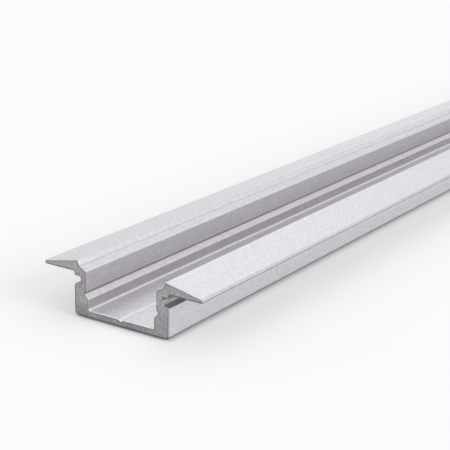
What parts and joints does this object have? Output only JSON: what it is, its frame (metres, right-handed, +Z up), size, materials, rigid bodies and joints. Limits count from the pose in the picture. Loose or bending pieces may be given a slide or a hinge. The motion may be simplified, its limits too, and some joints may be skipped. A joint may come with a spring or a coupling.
{
  "type": "recessed led strip profile",
  "caption": "Straight extruded aluminium channel for an LED strip, with sloping flanges that rest on a panel, inner grooves for a snap-in cover and outer notches for clips.",
  "frame": {"origin": "on the underside of the base, midway along the length and across the width", "axes": "+X along the profile, +Y across it, +Z up out of the open side of the channel"},
  "size_m": [0.5, 0.0264, 0.008],
  "materials": {
    "anodised_aluminium": "satin silver anodised"
  },
  "bodies": {
    "root": {"channel_profile": "anodised_aluminium"}
  },
  "joints": []
}
